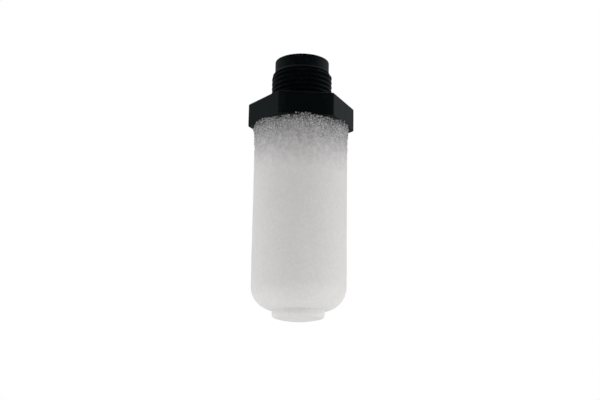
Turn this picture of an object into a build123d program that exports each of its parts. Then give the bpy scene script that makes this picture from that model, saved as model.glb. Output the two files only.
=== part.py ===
from build123d import *
import math
import os

# Pneumatic muffler: a moulded body that screws into a port, and a sintered cup pushed onto its spigot.
# All sizes are in millimetres. The origin is on the thread's axis, on the face of the hexagon that
# meets the port. +Z points out of the thread's nose, into the port, and the muffler hangs below.

# ---- Driving dimensions of the body -----------------------------------------------------------
THREAD_MAJOR_D = 16.662        # G 3/8 pipe thread, parallel
THREADS_PER_INCH = 19
SHANK_LENGTH = 12.85           # from the seat to the end of the nose
NOSE_LENGTH = 3.15             # plain stretch ahead of the thread
NOSE_STEP = 0.025              # nose radius over the thread's root radius
NOSE_EDGE_RADIUS = 0.1
LEAD_IN_ANGLE = 35.0           # cone from the nose to the first full crest, to the axis
RELIEF_HEIGHT = 2.1            # plain groove between the seat and the thread
RELIEF_STEP = 0.175            # relief radius under the thread's root radius
THREAD_END_CHAMFER = 0.5
SHANK_WALL = 1.55              # between the passage and the relief
PASSAGE_CHAMFER = 0.3
GROOVE_TURN = 102.5            # where the thread's groove starts, from +X

HEX_ACROSS_FLATS = 25.4
HEX_HEIGHT = 6.4
HEX_EDGE_RADIUS = 0.5
HEX_RIM_CHAMFER = 0.15
HEX_TURN = 5.5                 # a corner's place, from +X

SPIGOT_LENGTH = 12.0
SPIGOT_WALL = 1.9
SPIGOT_CORE_DEPTH = 3.2        # how far the spigot's wide passage goes up into the hexagon
SPIGOT_EDGE_CHAMFER = 0.4
BARB_COUNT = 3
BARB_HEIGHT = 0.35
BARB_LAND = 0.4
BARB_RAMP = 1.4
BARB_PITCH = 3.2
FIRST_BARB_DEPTH = 2.4         # from the hexagon's lower face to the first barb

# ---- Driving dimensions of the element --------------------------------------------------------
ELEMENT_D = 25.4
ELEMENT_WALL = 3.175
ELEMENT_LENGTH = 50.2          # from the hexagon to the flat end, without the boss
END_WALL = 4.0
END_CORNER_RADIUS = 6.5
CHAMBER_CORNER_RADIUS = 3.2
RIM_FLARE = 0.3
RIM_FLARE_LENGTH = 3.5
BOSS_D = 14.0
BOSS_HEIGHT = 2.8              # at the middle of its domed face
BOSS_DOME = 1.0                # how much of that height is the dome
BOSS_EDGE_RADIUS = 1.0

# ---- Clearances -------------------------------------------------------------------------------
SPIGOT_CLEARANCE = 0.075       # on radius, between the spigot and the element's bore
BARB_CLEARANCE = 0.02          # all round each barb, where it has pressed its own pocket
CUTTER_OVERSHOOT = 0.12        # how far a cutting shape stands out of what it cuts

# ---- Values worked out from them --------------------------------------------------------------
INCH = 25.4
FLANK_ANGLE = 27.5             # half of the 55 degrees between the flanks of a pipe thread
DEPTH_PER_PITCH = 0.640327
ROUNDING_PER_PITCH = 0.137329

pitch = INCH / THREADS_PER_INCH
thread_radius = THREAD_MAJOR_D / 2
root_radius = thread_radius - DEPTH_PER_PITCH * pitch
nose_radius = root_radius + NOSE_STEP
relief_radius = root_radius - RELIEF_STEP
passage_radius = relief_radius - SHANK_WALL
nose_start = SHANK_LENGTH - NOSE_LENGTH
lead_in_length = (thread_radius - nose_radius) / math.tan(math.radians(LEAD_IN_ANGLE))

element_radius = ELEMENT_D / 2
bore_radius = element_radius - ELEMENT_WALL
mouth_level = -HEX_HEIGHT
element_end = mouth_level - ELEMENT_LENGTH
chamber_end = element_end + END_WALL

spigot_radius = bore_radius - SPIGOT_CLEARANCE
spigot_core_radius = spigot_radius - SPIGOT_WALL
spigot_end = mouth_level - SPIGOT_LENGTH


def turned(points):
    """Solid of revolution about Z from a closed outline of (radius, height) points."""
    outline = Polyline(*points, close=True)
    return revolve(Plane.XZ * make_face(outline), axis=Axis.Z)


def tube_round(radius, low, high):
    """Solid cylinder about Z between two heights."""
    return Pos(0, 0, low) * Cylinder(radius, high - low, align=(Align.CENTER, Align.CENTER, Align.MIN))


def shank():
    """Blank of the thread: relief, chamfered thread diameter, lead-in cone and plain nose."""
    blank = turned([
        (0, mouth_level),
        (relief_radius, mouth_level),
        (relief_radius, RELIEF_HEIGHT),
        (thread_radius - THREAD_END_CHAMFER, RELIEF_HEIGHT),
        (thread_radius, RELIEF_HEIGHT + THREAD_END_CHAMFER),
        (thread_radius, nose_start - lead_in_length),
        (nose_radius, nose_start),
        (nose_radius, SHANK_LENGTH),
        (0, SHANK_LENGTH),
    ])
    nose_edge = blank.edges().filter_by(GeomType.CIRCLE).sort_by(Axis.Z)[-1]
    return fillet(nose_edge, NOSE_EDGE_RADIUS)


def groove_turns():
    """Right-hand helical cutters, a turn at a time, with 55 degree flanks and a round root."""
    rounding = ROUNDING_PER_PITCH * pitch
    slope = math.tan(math.radians(FLANK_ANGLE))
    foot_half = rounding * math.cos(math.radians(FLANK_ANGLE))
    foot_radius = root_radius + rounding * (1 - math.sin(math.radians(FLANK_ANGLE)))
    mouth_radius = thread_radius + CUTTER_OVERSHOOT
    mouth_half = foot_half + (mouth_radius - foot_radius) * slope

    root = ThreePointArc((foot_radius, -foot_half), (root_radius, 0), (foot_radius, foot_half))
    flanks = Polyline(
        (foot_radius, foot_half),
        (mouth_radius, mouth_half),
        (mouth_radius, -mouth_half),
        (foot_radius, -foot_half),
    )
    section = Plane.XZ * make_face(root + flanks)

    start = RELIEF_HEIGHT - mouth_half - CUTTER_OVERSHOOT
    run = nose_start - foot_half - start
    turns = math.ceil(run / pitch)
    rise = run / turns
    cutter = sweep(section, path=Helix(pitch, rise, root_radius), is_frenet=True)
    turn = 360 * rise / pitch
    return [Pos(0, 0, start + k * rise) * Rot(0, 0, GROOVE_TURN + k * turn) * cutter for k in range(turns)]


def threaded_shank():
    """Relief, thread, lead-in and nose."""
    threaded = shank()
    for cutter in groove_turns():
        threaded -= cutter
    return threaded


def hexagon():
    """Spanner hexagon, with rounded upright edges and a small chamfer around both rims."""
    outline = RegularPolygon(HEX_ACROSS_FLATS / 2, 6, major_radius=False, rotation=HEX_TURN)
    outline = fillet(outline.vertices(), HEX_EDGE_RADIUS)
    block = Pos(0, 0, mouth_level) * extrude(outline, HEX_HEIGHT)
    rims = block.faces().filter_by(Axis.Z).edges()
    return chamfer(rims, HEX_RIM_CHAMFER)


def barb(index, growth=0.0):
    """One ring barb: square face towards the hexagon, ramp towards the spigot's end."""
    top = mouth_level - FIRST_BARB_DEPTH - index * BARB_PITCH
    land_end = top - BARB_LAND
    inner = spigot_radius - BARB_HEIGHT
    outer = spigot_radius + BARB_HEIGHT + growth
    ramp_end = land_end - BARB_RAMP
    return turned([
        (inner, top + growth),
        (outer, top + growth),
        (outer, land_end - growth),
        (spigot_radius + growth, ramp_end - growth),
        (inner, ramp_end - growth),
    ])


def passage():
    """Air passage: narrow through the thread, wide through the spigot."""
    core_top = mouth_level + SPIGOT_CORE_DEPTH
    return turned([
        (0, spigot_end - CUTTER_OVERSHOOT),
        (spigot_core_radius, spigot_end - CUTTER_OVERSHOOT),
        (spigot_core_radius, core_top),
        (passage_radius, core_top),
        (passage_radius, SHANK_LENGTH - PASSAGE_CHAMFER),
        (passage_radius + PASSAGE_CHAMFER + CUTTER_OVERSHOOT, SHANK_LENGTH + CUTTER_OVERSHOOT),
        (0, SHANK_LENGTH + CUTTER_OVERSHOOT),
    ])


def threaded_body():
    """Nose, thread, hexagon and barbed spigot, moulded in one."""
    spigot = tube_round(spigot_radius, spigot_end, mouth_level)
    spigot_edge = spigot.edges().filter_by(GeomType.CIRCLE).sort_by(Axis.Z)[0]
    body = threaded_shank() + hexagon() + chamfer(spigot_edge, SPIGOT_EDGE_CHAMFER)
    for index in range(BARB_COUNT):
        body += barb(index)
    return body - passage()


def cup_outside():
    """Outside of the cup: flared rim, straight wall and a large corner radius, without the boss."""
    corner = element_end + END_CORNER_RADIUS
    flare_start = mouth_level - RIM_FLARE_LENGTH
    rim_radius = element_radius + RIM_FLARE
    end_face = Line((0, element_end), (element_radius - END_CORNER_RADIUS, element_end))
    end_corner = TangentArc(end_face @ 1, (element_radius, corner), tangent=(1, 0))
    wall = Line(end_corner @ 1, (element_radius, flare_start))
    flare = TangentArc(wall @ 1, (rim_radius, mouth_level), tangent=(0, 1))
    closing = Polyline(flare @ 1, (0, mouth_level), (0, element_end))
    outline = end_face + end_corner + wall + flare + closing
    return revolve(Plane.XZ * make_face(outline), axis=Axis.Z)


def boss():
    """Low round boss on the closed end, with a domed face and a rounded edge."""
    radius = BOSS_D / 2
    low = element_end - BOSS_HEIGHT
    dome = TangentArc((0, low), (radius, low + BOSS_DOME), tangent=(1, 0))
    side = Polyline(dome @ 1, (radius, chamber_end), (0, chamber_end), (0, low))
    section = make_face(dome + side)
    edge = section.vertices().group_by(Axis.X)[-1].sort_by(Axis.Y)[0]
    return revolve(Plane.XZ * fillet(edge, BOSS_EDGE_RADIUS), axis=Axis.Z)


def chamber():
    """Hollow of the cup, from its mouth to the closed end."""
    blank = tube_round(bore_radius, chamber_end, mouth_level)
    end_edge = blank.edges().filter_by(GeomType.CIRCLE).sort_by(Axis.Z)[0]
    return fillet(end_edge, CHAMBER_CORNER_RADIUS)


def porous_element():
    """Sintered cup, with the pockets that the barbs press into its bore."""
    cup = cup_outside() + boss() - chamber()
    for index in range(BARB_COUNT):
        cup -= barb(index, BARB_CLEARANCE)
    return cup


os.makedirs("parts", exist_ok=True)
export_step(threaded_body(), "parts/threaded_body.step")
export_step(porous_element(), "parts/porous_element.step")
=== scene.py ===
"""Looks of a pneumatic muffler: a black moulded body with a pipe thread and a white sintered cup.

Lengths are in metres. The frame's origin is on the thread's axis, on the hexagon's upper face, and
+Z points out of the nose.
"""

import math
import random

import bmesh
import bpy
from bpy.props import FloatProperty, FloatVectorProperty, IntProperty, PointerProperty
from mathutils import Euler, Matrix, Vector, noise


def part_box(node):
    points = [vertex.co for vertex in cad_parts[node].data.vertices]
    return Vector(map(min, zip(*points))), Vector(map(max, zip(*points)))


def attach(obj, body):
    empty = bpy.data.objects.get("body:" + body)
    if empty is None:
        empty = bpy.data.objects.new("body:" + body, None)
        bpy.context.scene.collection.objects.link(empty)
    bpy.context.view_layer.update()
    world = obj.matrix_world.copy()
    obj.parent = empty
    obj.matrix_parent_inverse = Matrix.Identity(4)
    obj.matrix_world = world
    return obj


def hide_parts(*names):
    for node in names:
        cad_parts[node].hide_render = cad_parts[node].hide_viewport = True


bl_info = {
    "name": "Pneumatic muffler",
    "version": (1, 0, 0),
    "blender": (4, 5, 0),
    "location": "3D View > Sidebar > Muffler",
    "description": "Sintered cup, loose beads, finishes and stage of a screw-in air silencer",
    "category": "Object",
}

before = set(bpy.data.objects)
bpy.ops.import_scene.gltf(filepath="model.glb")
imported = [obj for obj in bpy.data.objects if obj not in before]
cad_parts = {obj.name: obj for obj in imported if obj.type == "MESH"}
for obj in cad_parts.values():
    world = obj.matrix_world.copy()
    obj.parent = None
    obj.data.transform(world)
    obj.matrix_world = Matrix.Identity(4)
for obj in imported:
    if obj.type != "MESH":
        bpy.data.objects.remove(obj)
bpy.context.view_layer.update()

BODY = "root"
MM = 0.001
CUP_LOW, CUP_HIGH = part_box("porous_element")
MOUTH_LEVEL = CUP_HIGH[2]          # where the cup meets the hexagon
CUP_END = CUP_LOW[2]               # the boss's outer face
RIM_RADIUS = CUP_HIGH[0]           # widest place of the cup, at its mouth
NOSE_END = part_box("threaded_body")[1][2]
WHITE = (1.0, 1.0, 1.0)
BLACK = (0.0, 0.0, 0.0)


def length_property(name, description, default_mm):
    """Length in metres, given in millimetres."""
    return FloatProperty(name=name, description=description, default=default_mm * MM, min=0.0,
                         unit="LENGTH", subtype="DISTANCE", precision=5)


def colour_property(name, description, default):
    """Linear colour without alpha."""
    return FloatVectorProperty(name=name, description=description, default=default, size=3,
                               min=0.0, max=1.0, subtype="COLOR")


# ---- Settings ---------------------------------------------------------------------------------


class CupSettings(bpy.types.PropertyGroup):
    """Sizes and colours of the sintered cup."""

    wall: length_property("Wall", "Thickness of the cup's wall", 3.175)
    flare: length_property("Flare", "How far the rim stands out of the straight wall", 0.3)
    flare_length: length_property("Flare length", "Height of the flared rim", 3.5)
    end_corner: length_property("End corner", "Radius between the wall and the flat end", 6.5)
    end_wall: length_property("End wall", "Thickness of the closed end, without the boss", 4.0)
    chamber_corner: length_property("Chamber corner", "Radius inside the closed end", 3.2)
    boss_radius: length_property("Boss radius", "Radius of the boss on the closed end", 7.0)
    boss_height: length_property("Boss height", "From the flat end to the middle of the boss's face", 2.8)
    boss_dome: length_property("Boss dome", "How much of the boss's height is its domed face", 1.0)
    boss_edge: length_property("Boss edge", "Radius on the boss's edge", 1.0)
    bead: length_property("Bead", "Size of the plastic beads that the cup is sintered from", 0.55)
    spigot_depth: length_property("Spigot depth", "How far the dark spigot reaches into the cup", 12.0)
    row: length_property("Row", "Height of one row of faces on the wall", 0.3)
    steps: IntProperty(name="Steps", description="Faces round the cup", default=288, min=24)
    # Painted shade: the wall right under the hexagon is darkened for the crease under its overhang, over the
    # dark spigot.
    mouth_shade_colour: colour_property("Mouth colour", "Wall right under the hexagon", (0.040, 0.041, 0.043))
    rim_colour: colour_property("Rim colour", "Wall a little lower, behind the beads", (0.346, 0.342, 0.344))
    spigot_colour: colour_property("Spigot colour", "Wall over the dark spigot", (0.497, 0.485, 0.487))
    wall_colour: colour_property("Wall colour", "Wall just clear of the spigot", (0.643, 0.629, 0.624))
    end_colour: colour_property("End colour", "Wall at the closed end", (0.694, 0.689, 0.678))
    bead_colour: colour_property("Bead colour", "Loose beads at the mouth", (0.566, 0.556, 0.557))


class BodySettings(bpy.types.PropertyGroup):
    """Hexagon and colours of the moulded body."""

    across_flats: length_property("Across flats", "Width of the hexagon between two flats", 25.4)
    turn: FloatProperty(name="Turn", description="Turn of a corner of the hexagon from the X axis",
                        default=math.radians(5.5), subtype="ANGLE")
    colour: colour_property("Colour", "Black moulded plastic", (0.0013, 0.0018, 0.0020))
    # Also the colour of the painted highlight along the hexagon's upright corners.
    scuff_and_highlight_colour: colour_property("Rubbed colour", "The same plastic where it is scuffed",
                                   (0.0050, 0.0062, 0.0068))
    sheen_tint: colour_property("Sheen tint", "Tint of what the plastic reflects", (0.70, 1.00, 1.00))
    roughness: FloatProperty(name="Roughness", description="Mean roughness of the plastic",
                             default=0.40, min=0.0, max=1.0, subtype="FACTOR")


class StageSettings(bpy.types.PropertyGroup):
    """Camera, floor and lights."""

    camera_distance: length_property("Camera distance", "From the thread's axis to the camera", 245.6)
    camera_drop: length_property("Camera drop", "Depth of the camera under the seat", 86.65)
    camera_tilt: FloatProperty(name="Camera tilt", description="Upward tilt of the camera",
                               default=0.24, subtype="ANGLE")
    camera_roll: FloatProperty(name="Camera roll", description="Turn about the camera's own axis",
                               default=0.016, subtype="ANGLE")
    lens: FloatProperty(name="Lens", description="Focal length on a 36 mm sensor, in millimetres",
                        default=56.04, min=1.0)
    floor_drop: length_property("Floor drop", "From the lowest point of the muffler to the floor", 240.0)
    sky: FloatProperty(name="Sky", description="Even light from all round", default=0.64, min=0.0)
    gloss_sky: FloatProperty(name="Gloss sky", default=0.21, min=0.0,
                             description="Brightness beside and behind, as glossy surfaces see it")
    gloss_right: FloatProperty(name="Gloss right", default=0.06, min=0.0,
                               description="How much brighter the right side is than the middle")
    side_light: FloatProperty(name="Side light", description="Power that each lamp has its share of",
                              default=1.0, min=0.0, unit="POWER")


# ---- Node helpers -----------------------------------------------------------------------------


def add(tree, kind, **values):
    """New node with its properties set."""
    made = tree.nodes.new(kind)
    for name, value in values.items():
        setattr(made, name, value)
    return made


def maths(tree, operation, first, second=0.0, clamp=False):
    """Math node; each operand is a socket or a number. Returns its output."""
    made = add(tree, "ShaderNodeMath", operation=operation, use_clamp=clamp)
    for place, value in enumerate((first, second)):
        if isinstance(value, (int, float)):
            made.inputs[place].default_value = value
        else:
            tree.links.new(value, made.inputs[place])
    return made.outputs["Value"]


def mix(tree, factor, first, second, **kind):
    """Mix node; the factor and both sides are sockets or values. Returns its output."""
    made = add(tree, "ShaderNodeMix", **kind)
    for name, value in (("Factor", factor), ("A", first), ("B", second)):
        socket = [s for s in made.inputs if s.name == name and s.enabled][0]
        if isinstance(value, bpy.types.NodeSocket):
            tree.links.new(value, socket)
        else:
            socket.default_value = value
    return [s for s in made.outputs if s.enabled][0]


def blend_colours(tree, mode, factor, first, second):
    """Mix of two colours in a blend mode. Returns its output."""
    return mix(tree, factor, first, second, data_type="RGBA", blend_type=mode)


def scaled(tree, value, factor, offset=0.0):
    """A value times a factor, plus an offset."""
    return maths(tree, "ADD", maths(tree, "MULTIPLY", value, factor), offset)


def rgba(colour, factor=1.0):
    """Opaque colour, made lighter or darker by a factor."""
    return (*(part * factor for part in colour), 1.0)


def new_group(name, inputs, outputs):
    """Shader node group with the given sockets. Returns its tree, input node and output node."""
    tree = bpy.data.node_groups.new(name, "ShaderNodeTree")
    for label, default in inputs:
        socket = tree.interface.new_socket(name=label, in_out="INPUT", socket_type="NodeSocketFloat")
        socket.default_value = default
    for label in outputs:
        tree.interface.new_socket(name=label, in_out="OUTPUT", socket_type="NodeSocketFloat")
    return tree, add(tree, "NodeGroupInput"), add(tree, "NodeGroupOutput")


def new_material(name, roughness):
    """Material with a shader and an output. Returns the material, its tree and the shader."""
    material = bpy.data.materials.new(name)
    material.use_nodes = True
    tree = material.node_tree
    tree.nodes.clear()
    shader = add(tree, "ShaderNodeBsdfPrincipled")
    shader.inputs["Roughness"].default_value = roughness
    output = add(tree, "ShaderNodeOutputMaterial")
    tree.links.new(shader.outputs["BSDF"], output.inputs["Surface"])
    return material, tree, shader


def bump(tree, shader, height, strength, distance):
    """Feeds a height to the shader's normal."""
    made = add(tree, "ShaderNodeBump")
    made.inputs["Strength"].default_value = strength
    made.inputs["Distance"].default_value = distance
    tree.links.new(height, made.inputs["Height"])
    tree.links.new(made.outputs["Normal"], shader.inputs["Normal"])


def soften(shader, sheen, sheen_roughness, scatter, reach):
    """Pale sheen, and light that spreads inside as far as its reach, as in milky plastic."""
    shader.inputs["Sheen Weight"].default_value = sheen
    shader.inputs["Sheen Roughness"].default_value = sheen_roughness
    shader.inputs["Subsurface Weight"].default_value = scatter
    shader.inputs["Subsurface Radius"].default_value = WHITE
    shader.inputs["Subsurface Scale"].default_value = reach


# ---- Node groups ------------------------------------------------------------------------------


def bead_texture():
    """Fused beads on a surface: gaps between them, a height, and a tone for each bead."""
    tree, given, result = new_group(
        "Bead texture", [("Bead size", 0.5 * MM), ("Gap width", 0.12)], ["Gaps", "Height", "Tone"])
    place = add(tree, "ShaderNodeTexCoord").outputs["Object"]
    scale = maths(tree, "DIVIDE", 1.0, given.outputs["Bead size"])

    edges = add(tree, "ShaderNodeTexVoronoi", feature="DISTANCE_TO_EDGE")
    cells = add(tree, "ShaderNodeTexVoronoi", feature="F1")
    for texture in (edges, cells):
        tree.links.new(place, texture.inputs["Vector"])
        tree.links.new(scale, texture.inputs["Scale"])

    nearness = maths(tree, "DIVIDE", edges.outputs["Distance"], given.outputs["Gap width"], clamp=True)
    tree.links.new(maths(tree, "SUBTRACT", 1.0, nearness), result.inputs["Gaps"])
    tree.links.new(maths(tree, "SQRT", nearness), result.inputs["Height"])
    tone = add(tree, "ShaderNodeSeparateColor")
    tree.links.new(cells.outputs["Color"], tone.inputs["Color"])
    tree.links.new(tone.outputs["Red"], result.inputs["Tone"])
    return tree


def cloudiness():
    """Soft uneven patches, as a value about a half."""
    tree, given, result = new_group("Cloudiness", [("Patch size", 5 * MM), ("Detail", 3.0)], ["Value"])
    place = add(tree, "ShaderNodeTexCoord").outputs["Object"]
    texture = add(tree, "ShaderNodeTexNoise")
    tree.links.new(place, texture.inputs["Vector"])
    tree.links.new(maths(tree, "DIVIDE", 1.0, given.outputs["Patch size"]), texture.inputs["Scale"])
    tree.links.new(given.outputs["Detail"], texture.inputs["Detail"])
    tree.links.new(texture.outputs["Fac"], result.inputs["Value"])
    return tree


def depth_under_mouth():
    """How far down the cup a point lies: 0 at the mouth and 1 at the boss's face."""
    tree, given, result = new_group(
        "Depth under mouth", [("Mouth level", MOUTH_LEVEL), ("End level", CUP_END)], ["Depth"])
    place = add(tree, "ShaderNodeTexCoord").outputs["Object"]
    parts = add(tree, "ShaderNodeSeparateXYZ")
    tree.links.new(place, parts.inputs["Vector"])
    down = maths(tree, "SUBTRACT", given.outputs["Mouth level"], parts.outputs["Z"])
    span = maths(tree, "SUBTRACT", given.outputs["Mouth level"], given.outputs["End level"])
    tree.links.new(maths(tree, "DIVIDE", down, span, clamp=True), result.inputs["Depth"])
    return tree


GROUP_MAKERS = {
    "Bead texture": bead_texture,
    "Cloudiness": cloudiness,
    "Depth under mouth": depth_under_mouth,
}


def use_group(tree, name, **values):
    """Places a node group, which is built the first time, and sets its inputs; _ stands for a space."""
    if name not in bpy.data.node_groups:
        GROUP_MAKERS[name]()
    made = add(tree, "ShaderNodeGroup", node_tree=bpy.data.node_groups[name])
    for label, value in values.items():
        made.inputs[label.replace("_", " ")].default_value = value
    return made


# ---- Materials --------------------------------------------------------------------------------

CLOUD_MIDDLE = 0.5                 # mean value of the cloudiness

WALL_ROUGHNESS = 0.86
WALL_GAP_WIDTH = 0.16              # as a share of a bead
WALL_GAP_COLOUR = (0.045, 0.047, 0.048)
WALL_TONE = 0.96                   # tone of the darkest bead
WALL_TONE_RANGE = 0.05             # from the darkest bead to the palest
WALL_PATCH_RANGE = 0.05

BEAD_ROUGHNESS = 0.62
DULL_BEAD_COLOUR = (0.34, 0.35, 0.36)

SCUFF_START = 0.56                 # cloudiness at which scuffs begin
SCUFF_GAIN = 5.0
SCUFF_AND_HIGHLIGHT_ROUGHNESS = 0.10             # added where the plastic is scuffed and along the painted corner highlight
FLOW_ROUGHNESS = 0.16              # range of roughness over the moulding
# The hexagon's upright corners get a painted highlight in the scuffed colour.
CORNER_HIGHLIGHT_REACH = 1.1 * MM              # from a corner of the hexagon to where its painted highlight begins
CORNER_HIGHLIGHT_FADE = 0.9 * MM

FLOOR_ROUGHNESS = 0.9
FLOOR_COLOURS = ((0.84, 0.84, 0.84), (0.88, 0.88, 0.88))
FLOOR_GLOSS_LOSS = 0.75            # how much darker the floor is to glossy surfaces
FLOOR_GLOW = 0.42                  # brings the floor up to white for the camera


def ramp(tree, factor, stops):
    """Colour ramp with the given (position, colour) stops. Returns its output."""
    made = add(tree, "ShaderNodeValToRGB")
    elements = made.color_ramp.elements
    while len(elements) < len(stops):
        elements.new(0.5)
    for element, (position, colour) in zip(elements, stops):
        element.position = position
        element.color = colour
    tree.links.new(factor, made.inputs["Fac"])
    return made.outputs["Color"]


def spigot_share(cup):
    """Depth of the spigot's end, where the mouth is at 0 and the boss's face at 1."""
    return cup.spigot_depth / (MOUTH_LEVEL - CUP_END)


def wall_shade(tree, depth, cup):
    """The cup's colour by depth: painted shade right under the hexagon, dark where the spigot shows through,
    pale at the closed end.
    """
    spigot_end = spigot_share(cup)
    return ramp(tree, depth, [
        # The two darkest stops paint shade in the crease right under the hexagon.
        (0.0, rgba(cup.mouth_shade_colour)),
        (spigot_end * 0.05, rgba(cup.mouth_shade_colour, 2.0)),
        (spigot_end * 0.14, rgba(cup.rim_colour)),
        (spigot_end * 0.55, rgba(cup.spigot_colour)),
        (spigot_end * 1.20, rgba(cup.wall_colour)),
        (1.0, rgba(cup.end_colour)),
    ])


def bead_shade(tree, depth, cup):
    """Colour of the loose beads by depth: painted shade on them right under the hexagon, a little darker
    over the spigot, as pale as the wall below.
    """
    spigot_end = spigot_share(cup)
    return ramp(tree, depth, [
        # The two darkest stops paint shade on the beads under the hexagon.
        (0.0, rgba(cup.bead_colour, 0.50)),
        (spigot_end * 0.06, rgba(cup.bead_colour, 0.66)),
        (spigot_end * 0.20, rgba(cup.bead_colour, 0.84)),
        (spigot_end * 0.70, rgba(cup.bead_colour, 0.96)),
        (spigot_end * 1.20, rgba(cup.wall_colour)),
    ])


def fading(tree, depth, start, fall, least):
    """Strength that falls from its start with the depth, but never below the least."""
    left = maths(tree, "SUBTRACT", start, maths(tree, "MULTIPLY", depth, fall))
    return maths(tree, "MAXIMUM", left, least)


def grey(tree, value):
    """Colour with all three parts at a value."""
    made = add(tree, "ShaderNodeCombineColor")
    for part in ("Red", "Green", "Blue"):
        tree.links.new(value, made.inputs[part])
    return made.outputs["Color"]


def sintered_wall(cup):
    """Fused white beads with fine gaps between them, darker where the spigot shows through, with painted
    shade right under the hexagon.
    """
    material, tree, shader = new_material("sintered_wall", WALL_ROUGHNESS)
    beads = use_group(tree, "Bead texture", Bead_size=cup.bead, Gap_width=WALL_GAP_WIDTH)
    patches = use_group(tree, "Cloudiness", Patch_size=7 * MM, Detail=4.0)
    clumps = use_group(tree, "Cloudiness", Patch_size=1.3 * MM, Detail=2.0)
    depth = use_group(tree, "Depth under mouth").outputs["Depth"]

    gap_strength = fading(tree, depth, start=0.58, fall=2.6, least=0.045)
    gaps = maths(tree, "MULTIPLY", beads.outputs["Gaps"], gap_strength)
    shade = blend_colours(tree, "MIX", gaps, wall_shade(tree, depth, cup), rgba(WALL_GAP_COLOUR))

    clump_strength = fading(tree, depth, start=1.20, fall=3.9, least=0.05)
    uneven = maths(tree, "SUBTRACT", clumps.outputs["Value"], CLOUD_MIDDLE)
    tone = scaled(tree, beads.outputs["Tone"], WALL_TONE_RANGE, WALL_TONE)
    tone = maths(tree, "ADD", tone, scaled(tree, patches.outputs["Value"], WALL_PATCH_RANGE))
    tone = maths(tree, "ADD", tone, scaled(tree, uneven, clump_strength))
    shade = blend_colours(tree, "MULTIPLY", 1.0, shade, grey(tree, tone))
    tree.links.new(shade, shader.inputs["Base Color"])

    soften(shader, sheen=0.25, sheen_roughness=0.45, scatter=0.4, reach=1.2 * MM)
    bump(tree, shader, beads.outputs["Height"], strength=0.30, distance=0.05 * MM)
    return material


def sintered_beads(cup):
    """Single beads that stand out at the mouth; each one has its own tone."""
    material, tree, shader = new_material("sintered_beads", BEAD_ROUGHNESS)
    depth = use_group(tree, "Depth under mouth").outputs["Depth"]
    tone = add(tree, "ShaderNodeAttribute", attribute_name="tone").outputs["Fac"]
    dullness = maths(tree, "SUBTRACT", 1.0, tone)
    # The depth ramp paints shade on the beads right under the hexagon.
    shade = blend_colours(tree, "MULTIPLY", dullness, bead_shade(tree, depth, cup), rgba(DULL_BEAD_COLOUR))
    tree.links.new(shade, shader.inputs["Base Color"])

    soften(shader, sheen=0.70, sheen_roughness=0.35, scatter=0.5, reach=0.8 * cup.bead)
    rough = use_group(tree, "Cloudiness", Patch_size=0.12 * MM, Detail=2.0)
    bump(tree, shader, rough.outputs["Value"], strength=0.25, distance=0.02 * MM)
    return material


def painted_corner_highlight(tree, body):
    """Mask of the painted highlight on the hexagon's corners: 0 over the flats and 1 on the upright edges.
    """
    parts = add(tree, "ShaderNodeSeparateXYZ")
    tree.links.new(add(tree, "ShaderNodeTexCoord").outputs["Object"], parts.inputs["Vector"])
    squares = [maths(tree, "MULTIPLY", parts.outputs[axis], parts.outputs[axis]) for axis in "XY"]
    radius = maths(tree, "SQRT", maths(tree, "ADD", *squares))
    corner = body.across_flats / 2 / math.cos(math.pi / 6)
    past = maths(tree, "SUBTRACT", radius, corner - CORNER_HIGHLIGHT_REACH)
    return maths(tree, "DIVIDE", past, CORNER_HIGHLIGHT_FADE, clamp=True)


def moulded_black(body):
    """Satin black plastic, faintly clouded, with fine grain, small scuff marks and a painted highlight along
    the hexagon's upright corners.
    """
    material, tree, shader = new_material("moulded_black", body.roughness)
    scuff_and_highlight_clouds = use_group(tree, "Cloudiness", Patch_size=1.3 * MM, Detail=8.0)
    flow = use_group(tree, "Cloudiness", Patch_size=6 * MM, Detail=3.0)
    grain = use_group(tree, "Cloudiness", Patch_size=0.09 * MM, Detail=2.0)

    scuffs_and_highlight = maths(tree, "SUBTRACT", scuff_and_highlight_clouds.outputs["Value"], SCUFF_START)
    scuffs_and_highlight = maths(tree, "MULTIPLY", scuffs_and_highlight, SCUFF_GAIN, clamp=True)
    # Painted highlight: the upright corners of the hexagon are made paler, broken up by the same clouds as
    # the scuff marks.
    corner_highlight = maths(tree, "MULTIPLY", painted_corner_highlight(tree, body), scuff_and_highlight_clouds.outputs["Value"])
    scuffs_and_highlight = maths(tree, "MAXIMUM", scuffs_and_highlight, corner_highlight)
    # Paler where scuffed and along the painted corner highlight.
    shade = blend_colours(tree, "MIX", scuffs_and_highlight, rgba(body.colour), rgba(body.scuff_and_highlight_colour))
    tree.links.new(shade, shader.inputs["Base Color"])
    shader.inputs["Specular Tint"].default_value = rgba(body.sheen_tint)

    uneven = maths(tree, "SUBTRACT", flow.outputs["Value"], CLOUD_MIDDLE)
    roughness = scaled(tree, uneven, FLOW_ROUGHNESS, body.roughness)
    roughness = maths(tree, "ADD", roughness, scaled(tree, scuffs_and_highlight, SCUFF_AND_HIGHLIGHT_ROUGHNESS))
    tree.links.new(roughness, shader.inputs["Roughness"])
    bump(tree, shader, grain.outputs["Value"], strength=0.12, distance=0.02 * MM)
    return material


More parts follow.
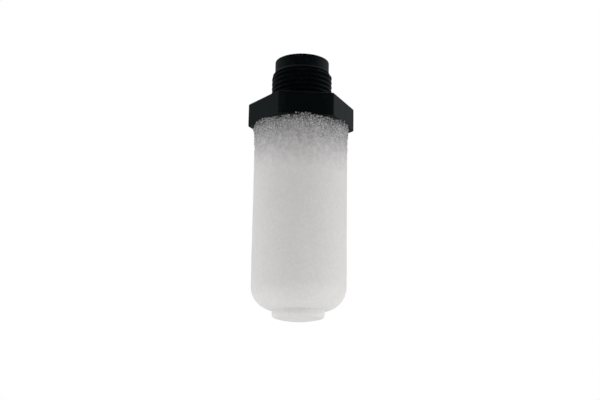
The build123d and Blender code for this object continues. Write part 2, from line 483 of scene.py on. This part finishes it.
def pale_floor():
    """Plain pale floor, seen white, that keeps the muffler's soft shadow."""
    material, tree, shader = new_material("pale_floor", FLOOR_ROUGHNESS)
    patches = use_group(tree, "Cloudiness", Patch_size=0.2, Detail=2.0)
    darker, paler = FLOOR_COLOURS
    shade = blend_colours(tree, "MIX", patches.outputs["Value"], rgba(darker), rgba(paler))
    rays = add(tree, "ShaderNodeLightPath")
    loss = maths(tree, "MULTIPLY", rays.outputs["Is Glossy Ray"], FLOOR_GLOSS_LOSS)
    shade = blend_colours(tree, "MIX", loss, shade, rgba(BLACK))
    tree.links.new(shade, shader.inputs["Base Color"])
    glow = maths(tree, "MULTIPLY", rays.outputs["Is Camera Ray"], FLOOR_GLOW)
    tree.links.new(glow, shader.inputs["Emission Strength"])
    shader.inputs["Emission Color"].default_value = rgba(WHITE)
    return material


# ---- Mesh helpers -----------------------------------------------------------------------------


def to_object(bm, name, material):
    """Mesh object at the origin, smooth shaded, riding on the body."""
    mesh = bpy.data.meshes.new(name)
    bm.to_mesh(mesh)
    bm.free()
    mesh.materials.append(material)
    mesh.shade_smooth()
    made = bpy.data.objects.new(name, mesh)
    bpy.context.scene.collection.objects.link(made)
    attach(made, BODY)
    return made


def chain(bm, points, start=None):
    """Vertices at (radius, height) points in the XZ plane, joined in a row by edges, after a start.

    Returns the last one.
    """
    corners = [start] if start else []
    corners += [bm.verts.new((radius, 0.0, height)) for radius, height in points]
    for first, second in zip(corners, corners[1:]):
        bm.edges.new((first, second))
    return corners[-1]


def arc(bm, start, centre, angle, row):
    """Goes on from a vertex with an arc about a (radius, height) centre. Returns its last vertex."""
    reach = math.hypot(start.co.x - centre[0], start.co.z - centre[1])
    steps = max(3, round(abs(angle) * reach / row))
    made = bmesh.ops.spin(bm, geom=[start], cent=(centre[0], 0.0, centre[1]), axis=(0, 1, 0),
                          angle=angle, steps=steps)
    return made["geom_last"][0]


def split_long_edges(bm, edges, row):
    """Divides edges so that no piece is longer than a row."""
    for edge in edges:
        cuts = math.ceil(edge.calc_length() / row) - 1
        if cuts > 0:
            bmesh.ops.subdivide_edges(bm, edges=[edge], cuts=cuts)


# ---- Sintered cup -----------------------------------------------------------------------------

FLARE_STEPS = 12                   # straight runs that make the flare
ARC_ROWS_INSIDE = 2                # rows to a step of an arc in the hollow
HOLLOW_ROWS = 5                    # rows to a face in the hollow
MERGE_DISTANCE = 0.001 * MM
GAP_SLOPE = 2.2                    # how steeply a bead rises out of its gaps
SMOOTH_GAP_DEPTH = 0.028 * MM      # everywhere on the outside
LOOSE_GAP_DEPTH = 0.157 * MM       # more at the mouth
SWELL_SIZE = 4 * MM
SWELL_HEIGHT = 0.04 * MM
HOLLOW_MARGIN = 0.2                # share of a wall's thickness that counts as its inside
MOUTH_MARGIN = 0.05 * MM


def wall_radius(height, cup):
    """Outside radius of the cup's wall at a height, with the flare at its mouth."""
    straight = RIM_RADIUS - cup.flare
    into_flare = height - (MOUTH_LEVEL - cup.flare_length)
    if into_flare <= 0:
        return straight
    return straight + cup.flare * (into_flare / cup.flare_length) ** 2


def chamber_section(bm, cup):
    """Half section of the cup's hollow, from the middle of its end to its mouth. Returns its last vertex."""
    bore = RIM_RADIUS - cup.flare - cup.wall
    end = CUP_END + cup.boss_height + cup.end_wall
    corner_start = bore - cup.chamber_corner
    corner_middle = (corner_start, end + cup.chamber_corner)
    corner = chain(bm, [(0.0, end), (corner_start, end)])
    corner = arc(bm, corner, corner_middle, -math.pi / 2, ARC_ROWS_INSIDE * cup.row)
    return chain(bm, [(bore, MOUTH_LEVEL)], corner)


def outside_section(bm, cup, start):
    """Half section of the cup's outside, from its mouth to the middle of the boss's domed face."""
    straight = RIM_RADIUS - cup.flare
    flat_end = CUP_END + cup.boss_height
    heights = [MOUTH_LEVEL - cup.flare_length * k / FLARE_STEPS for k in range(FLARE_STEPS + 1)]
    flare = [(wall_radius(height, cup), height) for height in heights]
    corner_level = flat_end + cup.end_corner
    corner = chain(bm, [*flare, (straight, corner_level)], start)
    corner_middle = straight - cup.end_corner
    meets_boss = math.acos((cup.boss_radius - corner_middle) / cup.end_corner)
    foot = arc(bm, corner, (corner_middle, corner_level), meets_boss, cup.row)

    dome_radius = (cup.boss_radius ** 2 + cup.boss_dome ** 2) / (2 * cup.boss_dome)
    dome_middle = CUP_END + dome_radius
    edge_middle = cup.boss_radius - cup.boss_edge
    slope = math.asin(edge_middle / (dome_radius - cup.boss_edge))
    edge_level = dome_middle - (dome_radius - cup.boss_edge) * math.cos(slope)
    edge = chain(bm, [(cup.boss_radius, edge_level)], foot)
    dome = arc(bm, edge, (edge_middle, edge_level), math.pi / 2 - slope, cup.row / 2)
    arc(bm, dome, (0.0, dome_middle), slope, cup.row)


def looseness(height, cup):
    """How loose the beads are at a height: 1 at the mouth and 0 from the spigot's end down."""
    return max(0.0, 1.0 - (MOUTH_LEVEL - height) / cup.spigot_depth)


def fuse_height(place, bead):
    """Height of a fused bead surface at a place: 1 on top of a bead and 0 in the gaps between."""
    nearest, second = noise.voronoi(place / bead)[0][:2]
    return min(1.0, (second - nearest) * GAP_SLOPE)


def roughen(bm, cup):
    """Swells the outside unevenly and presses gaps between its beads, deepest at the mouth."""
    bm.normal_update()
    flat_end = CUP_END + cup.boss_height
    chamber_end = flat_end + cup.end_wall
    bore = RIM_RADIUS - cup.flare - cup.wall
    moves = []
    for vert in bm.verts:
        radius = math.hypot(vert.co.x, vert.co.y)
        in_bore = radius < bore + HOLLOW_MARGIN * cup.wall
        above_end = vert.co.z > chamber_end - HOLLOW_MARGIN * cup.end_wall
        at_mouth = vert.co.z > MOUTH_LEVEL - MOUTH_MARGIN
        if at_mouth or (in_bore and above_end):
            continue
        depth = SMOOTH_GAP_DEPTH + LOOSE_GAP_DEPTH * looseness(vert.co.z, cup) ** 2
        gap = 1.0 - fuse_height(vert.co, cup.bead)
        swell = noise.noise(vert.co / SWELL_SIZE) * SWELL_HEIGHT
        moves.append((vert, vert.normal * (swell - depth * gap)))
    for vert, move in moves:
        vert.co += move


class MUFFLER_OT_make_cup(bpy.types.Operator):
    """Spin the sintered cup from its half section and press the gaps between its beads"""

    bl_idname = "muffler.make_cup"
    bl_label = "Sintered cup"

    def execute(self, context):
        cup = context.scene.muffler_cup
        bm = bmesh.new()
        mouth = chamber_section(bm, cup)
        hollow = list(bm.edges)
        outside_section(bm, cup, mouth)
        outside = [edge for edge in bm.edges if edge not in hollow]
        split_long_edges(bm, hollow, HOLLOW_ROWS * cup.row)
        split_long_edges(bm, outside, cup.row)
        bmesh.ops.spin(bm, geom=bm.verts[:] + bm.edges[:], cent=(0, 0, 0), axis=(0, 0, 1),
                       angle=2 * math.pi, steps=cup.steps, use_merge=True)
        bmesh.ops.remove_doubles(bm, verts=bm.verts[:], dist=MERGE_DISTANCE)
        bmesh.ops.recalc_face_normals(bm, faces=bm.faces[:])
        roughen(bm, cup)
        made = to_object(bm, "sintered_cup", sintered_wall(cup))
        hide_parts("porous_element")
        return {"FINISHED"}


# ---- Beads at the mouth -----------------------------------------------------------------------

# The beads' pattern, in bead sizes where nothing else is said.
BEAD_SPACING = 0.86                # along a ring
RING_SPACING = 0.80                # from ring to ring
ALONG_JITTER = 0.45                # of the spacing, either way
HEIGHT_JITTER = 0.5                # of the spacing, either way
FIRST_RING = 0.3                   # above the mouth
SMALLEST, LARGEST = 0.62, 1.12     # of the loose beads
LOOSE_PROUD = (-0.28, 0.10)        # how far a loose bead's middle stands out of the wall
FUSED_SUNK = 0.54                  # how far a fused bead's middle lies in the wall

BEAD_SQUASH = (0.75, 1.2)          # least and most, along each of its axes
FINE_LOOSENESS = 0.6               # looser beads than this get more faces
RIM_SHARE = 0.4                    # share of the spigot's depth that the rim's beads cover
THINNING = 0.6                     # power of the looseness by which beads thin out
CLUMP_SIZE = 0.7 * MM
CLUMP_GAIN = 1.6
MOUTH_CROWD = 0.55                 # share of the beads that are there at the mouth
CROWD_DEPTH = 1.4 * MM             # way down from the mouth over which the clumps close up
DENT_SIZE = 0.30 * MM              # of the uneven surface of a bead
DENT_DEPTH = 0.045 * MM
DENT_SEED = 1795338914             # any whole number but 0, which would take the clock's in each run


def hexagon_radius(angle, body):
    """Distance from the axis to the hexagon's side in a direction."""
    side = math.radians(60)
    off_flat = (angle - body.turn) % side - side / 2
    return body.across_flats / 2 / math.cos(off_flat)


def add_bead(row, tone_layer, place, size, loose, draw):
    """One bead, squashed and turned at random. Beads low on the wall are paler, with fewer faces."""
    squash = Vector(draw.uniform(*BEAD_SQUASH) for axis in range(3))
    turn = Euler([draw.uniform(0, math.pi) for axis in range(3)]).to_matrix().to_4x4()
    matrix = Matrix.Translation(place) @ turn @ Matrix.Diagonal((*squash, 1.0))
    subdivisions = 2 if loose > FINE_LOOSENESS else 1
    made = bmesh.ops.create_icosphere(row, subdivisions=subdivisions, radius=size / 2, matrix=matrix)
    tone = 1.0 - loose * draw.uniform(0.0, 1.0)
    for vert in made["verts"]:
        vert[tone_layer] = tone


def crowding(angle, radius, height):
    """Share of the beads that are there: in clumps at the mouth, and nearly all further down."""
    place = Vector((math.cos(angle), math.sin(angle), 0.0)) * radius
    clump = noise.noise(place / CLUMP_SIZE)
    below = max(0.0, MOUTH_LEVEL - height) / CROWD_DEPTH
    return min(1.0, MOUTH_CROWD + CLUMP_GAIN * clump + below)


def bead_row(height, loose, cup, body, draw):
    """Mesh of one ring of beads round the wall. Loose is 1 at the mouth and 0 where they end."""
    row = bmesh.new()
    tone_layer = row.verts.layers.float.new("tone")
    radius = wall_radius(min(height, MOUTH_LEVEL), cup)
    spacing = cup.bead * BEAD_SPACING
    count = round(2 * math.pi * radius / spacing)
    for k in range(count):
        angle = 2 * math.pi * (k + draw.uniform(-ALONG_JITTER, ALONG_JITTER)) / count
        size = cup.bead * draw.uniform(SMALLEST, LARGEST)
        bead_height = height + draw.uniform(-HEIGHT_JITTER, HEIGHT_JITTER) * spacing
        proud = draw.uniform(*LOOSE_PROUD) * loose - FUSED_SUNK * (1.0 - loose)
        out = radius + proud * cup.bead
        if draw.random() > loose ** THINNING * crowding(angle, radius, bead_height):
            continue
        if out < hexagon_radius(angle, body):
            bead_height = min(bead_height, MOUTH_LEVEL - size / 2)
        place = Vector((out * math.cos(angle), out * math.sin(angle), bead_height))
        add_bead(row, tone_layer, place, size, loose, draw)
    mesh = bpy.data.meshes.new("bead_row")
    row.to_mesh(mesh)
    row.free()
    return mesh


def bead_piece(name, top, bottom, settings, seed, material):
    """Rings of beads between two heights, joined in one mesh with uneven surfaces."""
    cup, body = settings
    draw = random.Random(seed)
    bm = bmesh.new()
    height = top
    while height > bottom:
        mesh = bead_row(height, looseness(height, cup), cup, body, draw)
        bm.from_mesh(mesh)
        bpy.data.meshes.remove(mesh)
        height -= cup.bead * RING_SPACING
    noise.seed_set(DENT_SEED)
    for vert in bm.verts:
        vert.co += noise.noise_vector(vert.co / DENT_SIZE) * DENT_DEPTH
    bmesh.ops.recalc_face_normals(bm, faces=bm.faces[:])
    made = to_object(bm, name, material)
    return made


class MUFFLER_OT_make_beads(bpy.types.Operator):
    """Scatter the loose beads that stand out of the cup round its mouth"""

    bl_idname = "muffler.make_beads"
    bl_label = "Loose beads"

    def execute(self, context):
        cup, body = context.scene.muffler_cup, context.scene.muffler_body
        material = sintered_beads(cup)
        top = MOUTH_LEVEL + FIRST_RING * cup.bead
        middle = MOUTH_LEVEL - RIM_SHARE * cup.spigot_depth
        bottom = MOUTH_LEVEL - cup.spigot_depth
        bead_piece("rim_beads", top, middle, (cup, body), seed=11, material=material)
        bead_piece("wall_beads", middle, bottom, (cup, body), seed=23, material=material)
        return {"FINISHED"}


# ---- Moulded body -----------------------------------------------------------------------------


class MUFFLER_OT_finish_body(bpy.types.Operator):
    """Give the threaded body its black moulded finish"""

    bl_idname = "muffler.finish_body"
    bl_label = "Moulded body"

    def execute(self, context):
        material = moulded_black(context.scene.muffler_body)
        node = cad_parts["threaded_body"]
        node.data.materials.clear()
        node.data.materials.append(material)
        return {"FINISHED"}


# ---- Stage ------------------------------------------------------------------------------------

SENSOR_WIDTH = 36.0                # in millimetres, as the lens is
CLIP_START = 0.01
FLOOR_REACH = 3.0                  # from the middle of the floor to its sides
GLOSS_RISE = 1.5                   # how fast the glossy sky brightens towards the back
GLOSS_SIDE = 0.85                  # share of its full brightness straight to the side
LAMPS = {                          # place, size and share of the stage's side light
    "left_lamp": ((-0.45, 0.10, -0.05), 0.35, 0.86),
    "right_lamp": ((0.45, 0.05, -0.05), 0.35, 0.80),
    "low_lamp": ((0.03, -0.24, -0.28), 0.25, 0.53),
}


def make_camera(stage):
    """Camera below the muffler, tilted up at it."""
    data = bpy.data.cameras.new("camera")
    data.lens = stage.lens
    data.sensor_width = SENSOR_WIDTH
    data.clip_start = CLIP_START
    camera = bpy.data.objects.new("camera", data)
    bpy.context.scene.collection.objects.link(camera)
    place = Matrix.Translation((0, -stage.camera_distance, -stage.camera_drop))
    tilt = Matrix.Rotation(math.pi / 2 + stage.camera_tilt, 4, "X")
    camera.matrix_world = place @ tilt @ Matrix.Rotation(stage.camera_roll, 4, "Z")
    bpy.context.scene.camera = camera


def make_floor(stage):
    """Large plain floor well under the muffler."""
    bm = bmesh.new()
    place = Matrix.Translation((0, 0, CUP_END - stage.floor_drop))
    bmesh.ops.create_grid(bm, x_segments=1, y_segments=1, size=FLOOR_REACH, matrix=place)
    mesh = bpy.data.meshes.new("floor")
    bm.to_mesh(mesh)
    bm.free()
    mesh.materials.append(pale_floor())
    floor = bpy.data.objects.new("floor", mesh)
    bpy.context.scene.collection.objects.link(floor)


def make_lamp(name, place, target, size, power):
    """Soft square lamp aimed at a point."""
    data = bpy.data.lights.new(name, "AREA")
    data.shape = "SQUARE"
    data.size = size
    data.energy = power
    lamp = bpy.data.objects.new(name, data)
    bpy.context.scene.collection.objects.link(lamp)
    aim = (Vector(target) - Vector(place)).to_track_quat("-Z", "Y").to_matrix().to_4x4()
    lamp.matrix_world = Matrix.Translation(place) @ aim
    lamp.visible_camera = False
    lamp.visible_glossy = False


def make_world(stage):
    """Surroundings: white to the eye, an even pale sky for light, and for gloss dark only in front."""
    world = bpy.data.worlds.new("studio")
    world.use_nodes = True
    tree = world.node_tree
    tree.nodes.clear()
    rays = add(tree, "ShaderNodeLightPath")
    parts = add(tree, "ShaderNodeSeparateXYZ")
    tree.links.new(add(tree, "ShaderNodeTexCoord").outputs["Generated"], parts.inputs["Vector"])
    rise = maths(tree, "MULTIPLY", parts.outputs["Y"], GLOSS_RISE)
    behind = maths(tree, "ADD", rise, GLOSS_SIDE, clamp=True)
    glow = scaled(tree, parts.outputs["X"], stage.gloss_right, stage.gloss_sky)
    gloss = maths(tree, "MULTIPLY", behind, glow)

    strength = mix(tree, rays.outputs["Is Glossy Ray"], stage.sky, gloss, data_type="FLOAT")
    white_rays = maths(tree, "MAXIMUM", rays.outputs["Is Camera Ray"], rays.outputs["Is Transmission Ray"])
    strength = mix(tree, white_rays, strength, 1.0, data_type="FLOAT")

    background = add(tree, "ShaderNodeBackground")
    background.inputs["Color"].default_value = rgba(WHITE)
    tree.links.new(strength, background.inputs["Strength"])
    output = add(tree, "ShaderNodeOutputWorld")
    tree.links.new(background.outputs["Background"], output.inputs["Surface"])
    bpy.context.scene.world = world


class MUFFLER_OT_make_stage(bpy.types.Operator):
    """Set up the camera, the pale floor, the soft lamps and the surroundings"""

    bl_idname = "muffler.make_stage"
    bl_label = "Stage"

    def execute(self, context):
        stage = context.scene.muffler_stage
        context.scene.view_settings.view_transform = "Standard"
        make_camera(stage)
        make_floor(stage)
        make_world(stage)
        middle = (0.0, 0.0, (NOSE_END + CUP_END) / 2)
        for name, (place, size, share) in LAMPS.items():
            make_lamp(name, place, middle, size, stage.side_light * share)
        return {"FINISHED"}


# ---- Panel and registration -------------------------------------------------------------------


OPERATORS = (MUFFLER_OT_finish_body, MUFFLER_OT_make_cup, MUFFLER_OT_make_beads, MUFFLER_OT_make_stage)
SETTINGS = {"muffler_cup": CupSettings, "muffler_body": BodySettings, "muffler_stage": StageSettings}


class MUFFLER_PT_panel(bpy.types.Panel):
    """Buttons and sizes of the muffler"""

    bl_idname = "MUFFLER_PT_panel"
    bl_label = "Pneumatic muffler"
    bl_space_type = "VIEW_3D"
    bl_region_type = "UI"
    bl_category = "Muffler"

    def draw(self, context):
        for operator in OPERATORS:
            self.layout.operator(operator.bl_idname)
        for name, settings in SETTINGS.items():
            box = self.layout.box()
            for field in settings.__annotations__:
                box.prop(getattr(context.scene, name), field)


def register():
    for kind in (*SETTINGS.values(), *OPERATORS, MUFFLER_PT_panel):
        bpy.utils.register_class(kind)
    for name, settings in SETTINGS.items():
        setattr(bpy.types.Scene, name, PointerProperty(type=settings))


def unregister():
    for name in SETTINGS:
        delattr(bpy.types.Scene, name)
    for kind in reversed((*SETTINGS.values(), *OPERATORS, MUFFLER_PT_panel)):
        bpy.utils.unregister_class(kind)


def main():
    """Registers the add-on and makes every piece."""
    register()
    for operator in OPERATORS:
        group, name = operator.bl_idname.split(".")
        getattr(getattr(bpy.ops, group), name)()


if __name__ == "__main__":
    main()
